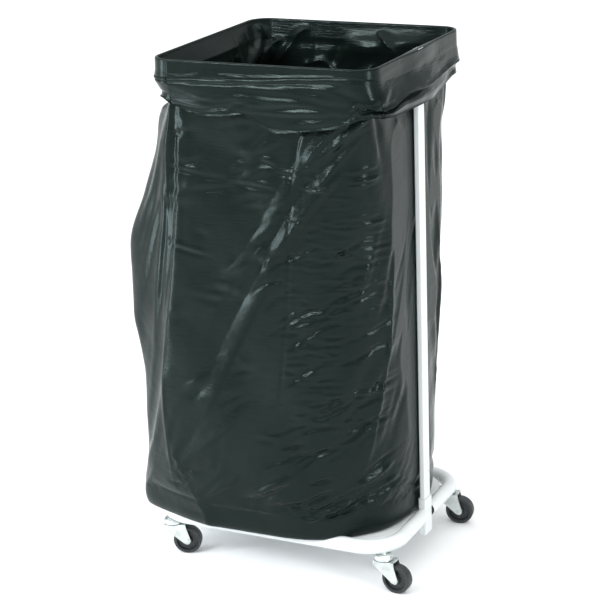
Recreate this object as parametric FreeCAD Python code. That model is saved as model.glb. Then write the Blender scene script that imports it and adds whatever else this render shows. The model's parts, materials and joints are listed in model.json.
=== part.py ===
"""A wheeled stand that holds a large plastic sack open.

Millimetres. +X points to the side with the post, +Z up. The origin is on the floor,
below the middle of the whole object's box. Each piece is written to parts/NODE.step.
"""
import FreeCAD
import Part

import math
import os

Vector = FreeCAD.Vector

# Overall heights
FLOOR_TO_RIM = 900.0
RING_HEIGHT = 81.0  # centre of the base tube above the floor

# Rim: a square hoop of flat strip, with the film folded over it
RIM_SIDE = 391.0  # outside, across the flats
RIM_CORNER = 35.0  # outside radius
STRIP_T = 4.0
STRIP_H = 30.0
RIM_X = 54.0  # the rim's middle, from the middle of the whole object

# Base: a rounded rectangle of round tube, with a tray inside it
TUBE_D = 25.0
TUBE_WALL = 1.5
RING_LENGTH = 440.0  # centre line, along X
RING_WIDTH = 328.0  # centre line, along Y
RING_CORNER = 60.0  # centre line radius
TRAY_TOP = 86.0
TRAY_T = 1.2
TRAY_SKIRT = 10.0
TRAY_CORNER = 62.0
TRAY_BEND = 3.0

# Post and its socket
POST_T = 10.0  # along X
POST_W = 25.0  # along Y
POST_WALL = 1.2
POST_ROUND = 2.5
SOCKET_T = 14.4
SOCKET_W = 29.4
SOCKET_ROUND = 3.0
SOCKET_LOW = 46.0
SOCKET_HIGH = 112.0
POST_FIT = 0.2
POST_LOW = SOCKET_LOW + 3.0
PLUG_DEPTH = 14.0

# Casters
WHEEL_R = 25.0
WHEEL_W = 18.0
HUB_W = 20.4
TRAIL = 25.0  # the axle's distance behind the swivel axis
FORK_T = 2.0
FORK_GAP = 21.6  # between the legs
FORK_TOP = 57.0
STEM_R = 4.0
AXLE_R = 3.0
BUSH_R = 4.2
RUNNING_FIT = 0.05  # radial
CAP_R = 17.0
CAP_LOW = 58.2
BALL_R = 2.2
BALL_COUNT = 14
INSERT_R = 7.0
INSERT_HIGH = 88.0

# Film: the wall is thicker than the real film, which is too thin to be a solid
FILM_T = 1.0
FILM_GAP = 0.5
CUFF_H = 90.0

# Places that follow from the sizes above
RIM_TOP = FLOOR_TO_RIM - FILM_T - FILM_GAP
POST_X = RIM_X + (RIM_SIDE - STRIP_T) / 2
RING_X = POST_X - RING_LENGTH / 2
RING_LOW = RING_HEIGHT - TUBE_D / 2
CAP_TOP = RING_LOW - FILM_GAP
ARC_INSET = RING_CORNER * (1 - math.cos(math.pi / 4))
CASTER_DX = RING_LENGTH / 2 - ARC_INSET
CASTER_DY = RING_WIDTH / 2 - ARC_INSET

# Each caster: which way its wheel trails behind the swivel axis, in degrees from +X
CASTERS = {
    "front_right": (CASTER_DX, -CASTER_DY, -3.0),
    "front_left": (-CASTER_DX, -CASTER_DY, 20.0),
    "rear_right": (CASTER_DX, CASTER_DY, 8.0),
    "rear_left": (-CASTER_DX, CASTER_DY, -14.0),
}


def save(name, shape):
    """Write one node, and say its volume and whether it is sound."""
    shape.exportStep(f"parts/{name}.step")
    print(f"{name}: {shape.Volume / 1000:.2f} cm3, {len(shape.Solids)} solid(s), valid {shape.isValid()}")


def rounded_rectangle(middle_x, length, width, corner, height):
    """A closed wire in a level plane, about (middle_x, 0)."""
    half_x, half_y = length / 2 - corner, width / 2 - corner
    edges = []
    corners = [(1, 1, 0), (-1, 1, 90), (-1, -1, 180), (1, -1, 270)]
    for side_x, side_y, start in corners:
        middle = Vector(middle_x + side_x * half_x, side_y * half_y, height)
        edges.append(Part.makeCircle(corner, middle, Vector(0, 0, 1), start, start + 90))
    loop = []
    for arc, following in zip(edges, edges[1:] + edges[:1]):
        loop.append(arc)
        loop.append(Part.makeLine(arc.lastVertex().Point, following.firstVertex().Point))
    return Part.Wire(loop)


def prism(wire, height):
    """A wire's face, drawn up by height."""
    return Part.Face(wire).extrude(Vector(0, 0, height))


def block(x_range, y_range, z_range):
    """A box between pairs of coordinates."""
    low = Vector(x_range[0], y_range[0], z_range[0])
    return Part.makeBox(
        x_range[1] - x_range[0],
        y_range[1] - y_range[0],
        z_range[1] - z_range[0],
        low,
    )


def cylinder(radius, low, high, x=0.0, y=0.0):
    """An upright cylinder."""
    return Part.makeCylinder(radius, high - low, Vector(x, y, low))


def turned(points):
    """A closed outline of (radius, height) points, turned about the Z axis."""
    outline = [Vector(radius, 0, height) for radius, height in points]
    face = Part.Face(Part.makePolygon(outline + outline[:1]))
    return face.revolve(Vector(0, 0, 0), Vector(0, 0, 1), 360)


# ---- Base ----------------------------------------------------------------------------


def ring_path():
    """The tube's centre line: from the socket's rear face round to its front face."""
    half_x, half_y = RING_LENGTH / 2 - RING_CORNER, RING_WIDTH / 2 - RING_CORNER
    corners = [(1, 1, 0), (-1, 1, 90), (-1, -1, 180), (1, -1, 270)]
    arcs = []
    for side_x, side_y, start in corners:
        middle = Vector(RING_X + side_x * half_x, side_y * half_y, RING_HEIGHT)
        arcs.append(Part.makeCircle(RING_CORNER, middle, Vector(0, 0, 1), start, start + 90))
    rear_end = Vector(POST_X, SOCKET_W / 2, RING_HEIGHT)
    front_end = Vector(POST_X, -SOCKET_W / 2, RING_HEIGHT)
    edges = []
    here = rear_end
    for arc in arcs:
        edges.append(Part.makeLine(here, arc.firstVertex().Point))
        edges.append(arc)
        here = arc.lastVertex().Point
    edges.append(Part.makeLine(here, front_end))
    return Part.Wire(edges)


def base_ring():
    """A bent tube, open at both ends, drilled from below for the caster inserts."""
    path = ring_path()
    start = Vector(POST_X, SOCKET_W / 2, RING_HEIGHT)
    solids = []
    for radius in (TUBE_D / 2, TUBE_D / 2 - TUBE_WALL):
        circle = Part.Wire(Part.makeCircle(radius, start, Vector(0, 1, 0)))
        solids.append(path.makePipeShell([circle], True, False))
    ring = solids[0].cut(solids[1])
    for dx, dy, _ in CASTERS.values():
        ring = ring.cut(cylinder(INSERT_R, RING_LOW - 1, RING_HEIGHT, RING_X + dx, dy))
    return ring


def base_tray():
    """A sheet with its edge bent down, just inside the ring."""
    length = RING_LENGTH - TUBE_D - 0.2
    width = RING_WIDTH - TUBE_D - 0.2
    low = TRAY_TOP - TRAY_SKIRT
    outside = prism(rounded_rectangle(RING_X, length, width, TRAY_CORNER, low), TRAY_SKIRT)
    outside = outside.makeFillet(TRAY_BEND, edges_at(outside, TRAY_TOP))
    inset = 2 * TRAY_T
    wire = rounded_rectangle(RING_X, length - inset, width - inset, TRAY_CORNER - TRAY_T, low)
    inside = prism(wire, TRAY_SKIRT - TRAY_T)
    inside = inside.makeFillet(TRAY_BEND - TRAY_T, edges_at(inside, TRAY_TOP - TRAY_T))
    return outside.cut(inside)


def edges_at(shape, height):
    """The edges that lie level at a height."""
    found = []
    for edge in shape.Edges:
        box = edge.BoundBox
        if abs(box.ZMin - height) < 0.01 and abs(box.ZMax - height) < 0.01:
            found.append(edge)
    return found


def caster_inserts():
    """Threaded sleeves, pressed into the underside of the tube at the four corners."""
    sleeves = []
    for dx, dy, _ in CASTERS.values():
        x = RING_X + dx
        sleeve = cylinder(INSERT_R - 0.02, CAP_TOP, INSERT_HIGH, x, dy)
        sleeves.append(sleeve.cut(cylinder(STEM_R, CAP_TOP - 1, INSERT_HIGH + 1, x, dy)))
    return Part.makeCompound(sleeves)


# ---- Post ----------------------------------------------------------------------------


def flat_tube(thickness, width, corner, low, high):
    """A solid upright bar of the post's section, about the post's axis."""
    wire = rounded_rectangle(POST_X, thickness, width, corner, low)
    return prism(wire, high - low)


def post():
    """The flat tube, from inside the socket up to the rim."""
    outside = flat_tube(POST_T, POST_W, POST_ROUND, POST_LOW, RIM_TOP)
    bore_t = POST_T - 2 * POST_WALL
    bore_w = POST_W - 2 * POST_WALL
    inside = flat_tube(bore_t, bore_w, POST_ROUND - POST_WALL, POST_LOW - 1, RIM_TOP + 1)
    lock_hole = across(3.2, LOCK_Z, POST_X - POST_T / 2 - 1, POST_X)
    return outside.cut(inside).cut(lock_hole)


def post_socket():
    """The sleeve that the post stands in. The ring's two ends meet its faces."""
    outside = flat_tube(SOCKET_T, SOCKET_W, SOCKET_ROUND, SOCKET_LOW, SOCKET_HIGH)
    bore_t = POST_T + 2 * POST_FIT
    bore_w = POST_W + 2 * POST_FIT
    bore = flat_tube(bore_t, bore_w, POST_ROUND, SOCKET_LOW - 1, SOCKET_HIGH + 1)
    stop = block(
        (POST_X - bore_t / 2 - 0.5, POST_X + bore_t / 2 + 0.5),
        (-3.0, 3.0),
        (SOCKET_LOW, POST_LOW),
    )
    lock_hole = across(3.2, LOCK_Z, POST_X - SOCKET_T, POST_X)
    return outside.cut(bore).fuse(stop).cut(lock_hole)


def post_plug():
    """Closes the post's top end, so that it doesn't pierce the film."""
    bore_t = POST_T - 2 * POST_WALL - 0.1
    bore_w = POST_W - 2 * POST_WALL - 0.1
    low = RIM_TOP - PLUG_DEPTH
    body = flat_tube(bore_t, bore_w, POST_ROUND - POST_WALL, low, RIM_TOP)
    hollow = flat_tube(bore_t - 3, bore_w - 3, 0.5, low - 1, RIM_TOP - 2)
    return body.cut(hollow)


LOCK_Z = 57.0  # the lock screw's height, below the ring
LOCK_NUT_T = 4.0
LOCK_HEAD_R = 5.0


def across(radius, height, x_low, x_high):
    """A cylinder along X, in the post's mid plane."""
    return Part.makeCylinder(radius, x_high - x_low, Vector(x_low, 0, height), Vector(1, 0, 0))


def post_lock_nut():
    """A square nut, welded to the socket's inner face."""
    face = POST_X - SOCKET_T / 2
    body = block((face - LOCK_NUT_T, face), (-5.5, 5.5), (LOCK_Z - 5.5, LOCK_Z + 5.5))
    return body.cut(across(3.0, LOCK_Z, face - LOCK_NUT_T - 1, face + 1))


def post_lock_screw():
    """An M6 screw through the nut, its point against the tube's wall."""
    face = POST_X - SOCKET_T / 2
    head_in = face - LOCK_NUT_T
    shank = across(3.0, LOCK_Z, head_in, POST_X - POST_T / 2 + 1.0)
    head = across(LOCK_HEAD_R, LOCK_Z, head_in - 3.5, head_in)
    slot = block((head_in - 4.0, head_in - 2.5), (-6.0, 6.0), (LOCK_Z - 0.6, LOCK_Z + 0.6))
    return shank.fuse(head).cut(slot)


# ---- Rim -----------------------------------------------------------------------------


def rim_strip():
    """A hoop of flat strip, whose two ends meet the post's narrow faces."""
    low = RIM_TOP - STRIP_H
    outside = prism(rounded_rectangle(RIM_X, RIM_SIDE, RIM_SIDE, RIM_CORNER, low), STRIP_H)
    bore = RIM_SIDE - 2 * STRIP_T
    inside = prism(rounded_rectangle(RIM_X, bore, bore, RIM_CORNER - STRIP_T, low), STRIP_H)
    slot = block((POST_X - 10, POST_X + 10), (-POST_W / 2, POST_W / 2), (low, RIM_TOP))
    return outside.cut(inside).cut(slot)


# ---- Casters -------------------------------------------------------------------------
# Each piece is drawn with the swivel axis on Z and the wheel trailing towards +X.


def caster_stem():
    """Threaded stem and king pin in one, with the foot that carries the fork."""
    pin = cylinder(STEM_R, FORK_TOP - FORK_T - 1, INSERT_HIGH - 2)
    foot = turned([(0, 51.6), (5.5, 51.6), (8, 53), (8, 54.6), (0, 54.6)])
    return pin.fuse(foot)


def caster_race_cap():
    """The domed upper race, clamped between the insert and the balls."""
    return turned([
        (STEM_R, CAP_TOP),
        (9.0, CAP_TOP),
        (12.6, CAP_TOP - 1.0),
        (15.4, CAP_TOP - 3.0),
        (CAP_R, CAP_TOP - 6.0),
        (CAP_R, CAP_LOW),
        (CAP_R - 1.4, CAP_LOW),
        (CAP_R - 1.4, CAP_LOW + 3.8),
        (8.0, CAP_LOW + 3.8),
        (8.0, FORK_TOP + 0.6),
        (STEM_R, FORK_TOP + 0.6),
    ])


def caster_race_balls():
    """The loose balls that run between the cap and the fork."""
    balls = []
    for index in range(BALL_COUNT):
        angle = 2 * math.pi * index / BALL_COUNT
        where = Vector(11.8 * math.cos(angle), 11.8 * math.sin(angle), FORK_TOP + BALL_R + 0.4)
        balls.append(Part.makeSphere(BALL_R, where))
    return Part.makeCompound(balls)


def caster_fork():
    """A pressed fork: a crown plate and two tapered legs down to the axle."""
    half = FORK_GAP / 2 + FORK_T
    crown_low = FORK_TOP - FORK_T
    crown = block((0, TRAIL - 2), (-half, half), (crown_low, FORK_TOP))
    crown = crown.fuse(cylinder(CAP_R, crown_low, FORK_TOP))
    outline = [
        (-14.0, FORK_TOP),
        (TRAIL - 2, FORK_TOP),
        (TRAIL - 1, FORK_TOP - 6),
        (TRAIL + 6.2, WHEEL_R + 2.0),
        (TRAIL + 6.2, WHEEL_R - 1.0),
        (TRAIL + 4.0, WHEEL_R - 5.0),
        (TRAIL, WHEEL_R - 6.4),
        (TRAIL - 4.6, WHEEL_R - 4.6),
        (-14.0, FORK_TOP - 8),
    ]
    fork = crown
    for low in (-half, FORK_GAP / 2):
        points = [Vector(x, low, z) for x, z in outline]
        leg = Part.Face(Part.makePolygon(points + points[:1])).extrude(Vector(0, FORK_T, 0))
        fork = fork.fuse(leg)
    fork = fork.cut(cylinder(STEM_R + 0.3, crown_low - 1, FORK_TOP + 1))
    fork = fork.cut(along_axle(AXLE_R, half + 1))
    return fork.removeSplitter()


def along_axle(radius, half_length):
    """A cylinder about the axle's line."""
    start = Vector(TRAIL, -half_length, WHEEL_R)
    return Part.makeCylinder(radius, 2 * half_length, start, Vector(0, 1, 0))


def about_axle(points):
    """An outline of (radius, offset along the axle) points, turned about the axle."""
    shape = turned(points)
    shape.rotate(Vector(0, 0, 0), Vector(1, 0, 0), -90)
    shape.translate(Vector(TRAIL, 0, WHEEL_R))
    return shape


def caster_axle():
    """A rivet with a domed head on each side."""
    end = FORK_GAP / 2 + FORK_T
    side = [(4.6, end), (4.2, end + 0.9), (3.0, end + 1.6), (1.5, end + 2.0)]
    other = [(radius, -offset) for radius, offset in reversed(side)]
    return about_axle(
        [(0, -end - 2.1)] + other + [(AXLE_R, -end), (AXLE_R, end)] + side + [(0, end + 2.1)]
    )


def caster_bush():
    """A steel sleeve, clamped between the legs, on which the wheel turns."""
    half = FORK_GAP / 2
    return about_axle([(AXLE_R, -half), (BUSH_R, -half), (BUSH_R, half), (AXLE_R, half)])


def caster_wheel():
    """A one-piece moulded wheel with a recessed web and rounded shoulders."""
    half, hub = WHEEL_W / 2, HUB_W / 2
    shoulder = 3.0
    side = [
        (WHEEL_R, half - shoulder),
        (WHEEL_R - 0.5, half - 1.4),
        (WHEEL_R - 1.4, half - 0.5),
        (WHEEL_R - shoulder, half),
        (19.0, half),
        (18.0, half - 4.5),
        (9.0, half - 4.0),
        (8.0, hub),
        (BUSH_R + RUNNING_FIT, hub),
    ]
    other = [(radius, -offset) for radius, offset in reversed(side)]
    return about_axle(side + other)


CASTER_PIECES = {
    "stem": caster_stem,
    "race_cap": caster_race_cap,
    "race_balls": caster_race_balls,
    "fork": caster_fork,
    "axle": caster_axle,
    "bush": caster_bush,
    "wheel": caster_wheel,
}


def save_casters():
    """Each caster's pieces, turned to its own trail and put at its own corner."""
    for corner, (dx, dy, trail_angle) in CASTERS.items():
        for piece, make in CASTER_PIECES.items():
            shape = make()
            shape.rotate(Vector(0, 0, 0), Vector(0, 0, 1), trail_angle)
            shape.translate(Vector(RING_X + dx, dy, 0))
            save(f"{piece}_{corner}", shape)


# ---- Sack ----------------------------------------------------------------------------
# Level sections from the bottom up: height, least x, greatest x, half width along Y,
# and how square the section is (2 is an ellipse, and a large number a rectangle).

SACK_RIGHT = POST_X - POST_T / 2 - 4.0  # clear of the post's inner face
NECK = SACK_RIGHT - RIM_X  # half, inside the rim
SACK_SECTIONS = [
    (94.3, -258.0, 226.0, 186.0, 2.2),
    (112.0, -276.0, 237.0, 201.0, 2.2),
    (200.0, -279.0, SACK_RIGHT, 203.0, 2.6),
    (450.0, -280.0, SACK_RIGHT, 204.0, 3.0),
    (640.0, -262.0, SACK_RIGHT, 201.0, 3.4),
    (760.0, -200.0, SACK_RIGHT, 197.0, 5.0),
    (808.0, RIM_X - NECK, RIM_X + NECK, NECK, 8.0),
    (FLOOR_TO_RIM, RIM_X - NECK, RIM_X + NECK, NECK, 8.0),
]
SECTION_POINTS = 48


def sack_section(section, inset):
    """One level section as a closed smooth curve, drawn in by inset."""
    height, low_x, high_x, half_y, square = section
    middle, half_x = (low_x + high_x) / 2, (high_x - low_x) / 2 - inset
    points = []
    for index in range(SECTION_POINTS):
        angle = 2 * math.pi * index / SECTION_POINTS
        run, rise = math.cos(angle), math.sin(angle)
        x = middle + half_x * math.copysign(abs(run) ** (2 / square), run)
        y = (half_y - inset) * math.copysign(abs(rise) ** (2 / square), rise)
        points.append(Vector(x, y, height))
    curve = Part.BSplineCurve()
    curve.interpolate(points, True)
    return Part.Wire(curve.toShape())


def sack_body(inset, low, high):
    """The sack's filled shape between its bottom and its mouth."""
    sections = [(low, *SACK_SECTIONS[0][1:])] + SACK_SECTIONS[1:-1] + [(high, *SACK_SECTIONS[-1][1:])]
    return Part.makeLoft([sack_section(section, inset) for section in sections], True, True)


def sole(inset, low, high):
    """The part of the sack's bottom that sits down inside the ring, on the tray."""
    clear = TUBE_D + 1.0 + 2 * inset
    corner = RING_CORNER - clear / 2
    well = prism(
        rounded_rectangle(RING_X, RING_LENGTH - clear, RING_WIDTH - clear, corner, low),
        high - low,
    )
    wire = sack_section((low, *SACK_SECTIONS[0][1:]), inset)
    return well.common(prism(wire, high - low))


def cuff():
    """The film that is folded down outside the rim, with a pocket for the post."""
    inner = RIM_SIDE + 2 * FILM_GAP
    outer = inner + 2 * FILM_T
    low = FLOOR_TO_RIM - CUFF_H
    corner = RIM_CORNER + FILM_GAP
    sleeve = prism(rounded_rectangle(RIM_X, outer, outer, corner + FILM_T, low), CUFF_H)
    pocket_x = POST_X + POST_T / 2 + FILM_GAP
    half = POST_W / 2 + FILM_GAP
    pocket = block((POST_X, pocket_x + FILM_T), (-half - FILM_T, half + FILM_T), (low, FLOOR_TO_RIM))
    underside = FLOOR_TO_RIM - FILM_T
    bore = prism(rounded_rectangle(RIM_X, inner, inner, corner, low), underside - low)
    bore = bore.fuse(block((POST_X, pocket_x), (-half, half), (low, underside)))
    return sleeve.fuse(pocket).cut(bore)


def plastic_bag():
    """The sack: open at the top, its mouth turned out and down over the rim."""
    bottom = SACK_SECTIONS[0][0]
    tray = TRAY_TOP + 0.4
    outside = sack_body(0, bottom, FLOOR_TO_RIM).fuse(sole(0, tray, bottom))
    outside = outside.fuse(cuff())
    inside = sack_body(FILM_T, bottom + FILM_T, FLOOR_TO_RIM + 1)
    inside = inside.fuse(sole(FILM_T, tray + FILM_T, bottom + FILM_T))
    return outside.cut(inside)


os.makedirs("parts", exist_ok=True)
save("base_ring", base_ring())
save("base_tray", base_tray())
save("caster_inserts", caster_inserts())
save("post_socket", post_socket())
save("post", post())
save("post_plug", post_plug())
save("post_lock_nut", post_lock_nut())
save("post_lock_screw", post_lock_screw())
save("rim_strip", rim_strip())
save("plastic_bag", plastic_bag())
save_casters()
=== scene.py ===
"""A wheeled stand with a black plastic sack folded over its rim: the visible model.

Metres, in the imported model's own frame: +X is the side with the post, -Y the front, +Z up.
"""

import json
import math

import bpy
import numpy as np
from mathutils import Matrix, Vector


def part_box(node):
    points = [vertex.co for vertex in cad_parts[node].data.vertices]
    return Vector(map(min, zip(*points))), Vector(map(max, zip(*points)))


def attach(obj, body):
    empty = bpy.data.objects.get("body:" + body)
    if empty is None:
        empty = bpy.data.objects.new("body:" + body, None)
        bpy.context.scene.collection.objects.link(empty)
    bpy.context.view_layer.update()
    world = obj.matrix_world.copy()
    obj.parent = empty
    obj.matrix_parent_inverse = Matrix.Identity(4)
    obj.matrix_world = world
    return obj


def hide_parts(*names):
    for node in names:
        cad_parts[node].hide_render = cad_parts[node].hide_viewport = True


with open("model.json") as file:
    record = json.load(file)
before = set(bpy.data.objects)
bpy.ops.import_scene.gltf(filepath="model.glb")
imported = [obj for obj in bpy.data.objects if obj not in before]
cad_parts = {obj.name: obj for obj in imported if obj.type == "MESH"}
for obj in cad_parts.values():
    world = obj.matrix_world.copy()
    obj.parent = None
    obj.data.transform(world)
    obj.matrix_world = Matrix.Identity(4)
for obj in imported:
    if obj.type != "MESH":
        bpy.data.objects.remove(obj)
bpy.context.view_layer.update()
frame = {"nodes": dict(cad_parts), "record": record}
FRAME_BODY = "frame"
SEED = 7

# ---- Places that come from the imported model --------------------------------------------

rim_low, rim_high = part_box("rim_strip")
post_low, post_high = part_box("post")
ring_low, ring_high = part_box("base_ring")
tray_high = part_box("base_tray")[1]

RIM_X = (rim_low.x + rim_high.x) / 2
RIM_HALF = (rim_high.x - rim_low.x) / 2
RIM_CORNER = 0.035  # outside radius of the strip's corners
STRIP_T = 0.004  # the strip's thickness
TUBE_R = (ring_high.z - ring_low.z) / 2
RING_CORNER = 0.060  # radius of the base ring's corners, along the middle of its tube
POST_FACE = post_low.x
POST_HALF = (post_high.y - post_low.y) / 2


def smoothstep(t):
    t = np.clip(t, 0.0, 1.0)
    return t * t * (3 - 2 * t)


def rising(value, start, reach):
    """0 up to start, and 1 from reach past it."""
    return smoothstep((value - start) / reach)


def falling(value, stop, reach):
    """1 up to reach short of stop, and 0 from stop on."""
    return smoothstep((stop - value) / reach)


def through(knots, at):
    """A smooth curve through (place, value) knots, with no overshoot between them."""
    places = np.array([k[0] for k in knots], float)
    values = np.array([k[1] for k in knots], float)
    if places[0] > places[-1]:
        places, values = places[::-1], values[::-1]
    step = np.diff(places)
    slope = np.diff(values) / step
    before, after = slope[:-1], slope[1:]
    one_way = before * after > 0
    tangent = np.zeros_like(values)
    tangent[1:-1] = np.where(one_way, 2 * before * after / np.where(one_way, before + after, 1), 0)
    tangent[0], tangent[-1] = slope[0], slope[-1]
    at = np.clip(np.asarray(at, float), places[0], places[-1])
    i = np.clip(np.searchsorted(places, at) - 1, 0, len(step) - 1)
    h = step[i]
    t = (at - places[i]) / h
    return (
        (2 * t**3 - 3 * t**2 + 1) * values[i]
        + (t**3 - 2 * t**2 + t) * h * tangent[i]
        + (-2 * t**3 + 3 * t**2) * values[i + 1]
        + (t**3 - t**2) * h * tangent[i + 1]
    )


# ---- Camera, light and floor -----------------------------------------------------------

CAMERA_PLACE = (1.386, -2.7966, 1.4717)
CAMERA_AZIMUTH, CAMERA_ELEVATION, CAMERA_ROLL = 25.88, 18.38, -2.09  # degrees
CAMERA_SENSOR, CAMERA_LENS = 36.0, 111.6  # millimetres

ROOM_COLOUR, ROOM_STRENGTH = (0.95, 0.985, 1.0, 1.0), 0.62
SUN_STRENGTH, SUN_ANGLE, SUN_DIRECTION = 2.6, 110, (0.05, 0.2, -1.0)
# Soft boxes that the film's folds reflect: name, place, what they face, size, watts, colour
SOFT_BOXES = [
    ("key_box", (-1.25, -2.35, 2.0), (0.0, 0.0, 0.55), (0.6, 0.6), 36, (0.95, 0.97, 1.0)),
    ("left_box", (-1.15, -0.85, 0.62), (0.0, 0.0, 0.6), (0.3, 1.0), 13, (0.86, 0.92, 1.0)),
    ("right_box", (2.0, -0.75, 0.78), (0.2, -0.15, 0.3), (0.3, 0.5), 12, (0.95, 0.97, 1.0)),
]
FLOOR_HALF = 150.0


def add_to_scene(thing):
    bpy.context.scene.collection.objects.link(thing)


def add_camera():
    """A long lens, in front and to the right, looking down a little."""
    azimuth, elevation, roll = (
        math.radians(a) for a in (CAMERA_AZIMUTH, CAMERA_ELEVATION, CAMERA_ROLL)
    )
    back = Vector((
        math.sin(azimuth) * math.cos(elevation),
        -math.cos(azimuth) * math.cos(elevation),
        math.sin(elevation),
    ))
    right = Vector((math.cos(azimuth), math.sin(azimuth), 0.0))
    up = back.cross(right)
    turned_right = math.cos(roll) * right + math.sin(roll) * up
    turned_up = math.cos(roll) * up - math.sin(roll) * right
    data = bpy.data.cameras.new("camera")
    data.sensor_width = CAMERA_SENSOR
    data.lens = CAMERA_LENS
    camera = bpy.data.objects.new("camera", data)
    basis = Matrix((turned_right, turned_up, back)).transposed()
    camera.matrix_world = Matrix.Translation(Vector(CAMERA_PLACE)) @ basis.to_4x4()
    add_to_scene(camera)
    bpy.context.scene.camera = camera


def aim(light, direction):
    light.rotation_mode = "QUATERNION"
    light.rotation_quaternion = Vector(direction).to_track_quat("-Z", "Y")


def add_soft_box(name, place, target, size, power, colour):
    """A rectangle of light, which shows in reflections but not to the camera."""
    data = bpy.data.lights.new(name, "AREA")
    data.shape = "RECTANGLE"
    data.size, data.size_y = size
    data.energy = power
    data.color = colour
    light = bpy.data.objects.new(name, data)
    light.location = place
    light.visible_camera = False
    aim(light, Vector(target) - Vector(place))
    add_to_scene(light)


def add_light():
    """A pale room lit from above, and the soft boxes."""
    world = bpy.data.worlds.new("room")
    world.use_nodes = True
    background = world.node_tree.nodes["Background"]
    background.inputs["Color"].default_value = ROOM_COLOUR
    background.inputs["Strength"].default_value = ROOM_STRENGTH
    bpy.context.scene.world = world

    data = bpy.data.lights.new("soft_sun", "SUN")
    data.energy = SUN_STRENGTH
    data.angle = math.radians(SUN_ANGLE)
    sun = bpy.data.objects.new("soft_sun", data)
    aim(sun, SUN_DIRECTION)
    add_to_scene(sun)

    for box in SOFT_BOXES:
        add_soft_box(*box)


def add_floor():
    """A wide pale floor."""
    mesh = bpy.data.meshes.new("floor")
    corners = [(x * FLOOR_HALF, y * FLOOR_HALF, 0) for x, y in ((-1, -1), (1, -1), (1, 1), (-1, 1))]
    mesh.from_pydata(corners, [], [(0, 1, 2, 3)])
    floor = bpy.data.objects.new("floor", mesh)
    material = bpy.data.materials.new("floor")
    material.use_nodes = True
    shader = material.node_tree.nodes["Principled BSDF"]
    shader.inputs["Base Color"].default_value = (0.9, 0.9, 0.9, 1)
    shader.inputs["Roughness"].default_value = 0.9
    shader.inputs["Specular IOR Level"].default_value = 0.1
    mesh.materials.append(material)
    add_to_scene(floor)


# ---- Materials -------------------------------------------------------------------------


class Shading:
    """A new material's nodes: a Principled shader with noise on colour, roughness and height."""

    def __init__(self, name, metallic=0.0, specular=0.5):
        self.material = bpy.data.materials.new(name)
        self.material.use_nodes = True
        self.nodes = self.material.node_tree.nodes
        self.links = self.material.node_tree.links
        self.shader = self.nodes["Principled BSDF"]
        self.shader.inputs["Metallic"].default_value = metallic
        self.shader.inputs["Specular IOR Level"].default_value = specular
        self.place = self.nodes.new("ShaderNodeTexCoord").outputs["Object"]
        self.height = None

    def noise(self, scale, stretch=(1, 1, 1), detail=3.0, roughness=0.5, distortion=0.0):
        """Noise with scale features to the metre; stretch above 1 packs them closer along an axis."""
        mapping = self.nodes.new("ShaderNodeMapping")
        mapping.inputs["Scale"].default_value = stretch
        self.links.new(self.place, mapping.inputs["Vector"])
        noise = self.nodes.new("ShaderNodeTexNoise")
        noise.inputs["Scale"].default_value = scale
        noise.inputs["Detail"].default_value = detail
        noise.inputs["Roughness"].default_value = roughness
        noise.inputs["Distortion"].default_value = distortion
        self.links.new(mapping.outputs["Vector"], noise.inputs["Vector"])
        return noise.outputs["Fac"]

    def colours(self, source, stops):
        """source drives a ramp of (place, colour) stops into the base colour."""
        ramp = self.nodes.new("ShaderNodeValToRGB")
        for element, (place, _) in zip(ramp.color_ramp.elements, (stops[0], stops[-1])):
            element.position = place
        for place, _ in stops[1:-1]:
            ramp.color_ramp.elements.new(place)
        for element, (_, colour) in zip(ramp.color_ramp.elements, stops):
            element.color = (*colour, 1)
        self.links.new(source, ramp.inputs["Fac"])
        self.links.new(ramp.outputs["Color"], self.shader.inputs["Base Color"])

    def roughness(self, source, low, high):
        """source, most of which lies from 0.3 to 0.7, drives the roughness from low to high."""
        node = self.nodes.new("ShaderNodeMapRange")
        node.inputs["From Min"].default_value = 0.3
        node.inputs["From Max"].default_value = 0.7
        node.inputs["To Min"].default_value = low
        node.inputs["To Max"].default_value = high
        self.links.new(source, node.inputs["Value"])
        self.links.new(node.outputs["Result"], self.shader.inputs["Roughness"])

    def bump(self, source, distance, strength):
        """Adds source to the surface's height, distance metres deep."""
        node = self.nodes.new("ShaderNodeBump")
        node.inputs["Strength"].default_value = strength
        node.inputs["Distance"].default_value = distance
        self.links.new(source, node.inputs["Height"])
        if self.height is not None:
            self.links.new(self.height, node.inputs["Normal"])
        self.height = node.outputs["Normal"]
        self.links.new(self.height, self.shader.inputs["Normal"])


def powder_coat():
    """White powder coat: semi-gloss, with orange peel and a faint uneven tone."""
    m = Shading("powder_coat", specular=0.45)
    m.colours(m.noise(9, detail=4), [(0.3, (0.66, 0.69, 0.69)), (0.7, (0.71, 0.74, 0.74))])
    m.roughness(m.noise(40), 0.27, 0.4)
    m.bump(m.noise(620, detail=2), 0.00022, 0.35)
    m.bump(m.noise(90, detail=2), 0.0004, 0.2)
    return m.material


def zinc():
    """Bright zinc plate on pressed steel, dulled in patches."""
    m = Shading("zinc", metallic=1.0)
    m.colours(
        m.noise(75, detail=5, distortion=0.6),
        [(0.25, (0.5, 0.545, 0.54)), (0.5, (0.66, 0.70, 0.69)), (0.8, (0.74, 0.78, 0.76))],
    )
    m.roughness(m.noise(160, detail=4), 0.24, 0.46)
    m.bump(m.noise(900, detail=2), 0.0001, 0.4)
    return m.material


def bearing_steel():
    """Polished balls."""
    m = Shading("bearing_steel", metallic=1.0)
    m.colours(m.noise(200), [(0.3, (0.6, 0.61, 0.62)), (0.7, (0.72, 0.73, 0.74))])
    m.roughness(m.noise(300), 0.12, 0.24)
    return m.material


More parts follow.
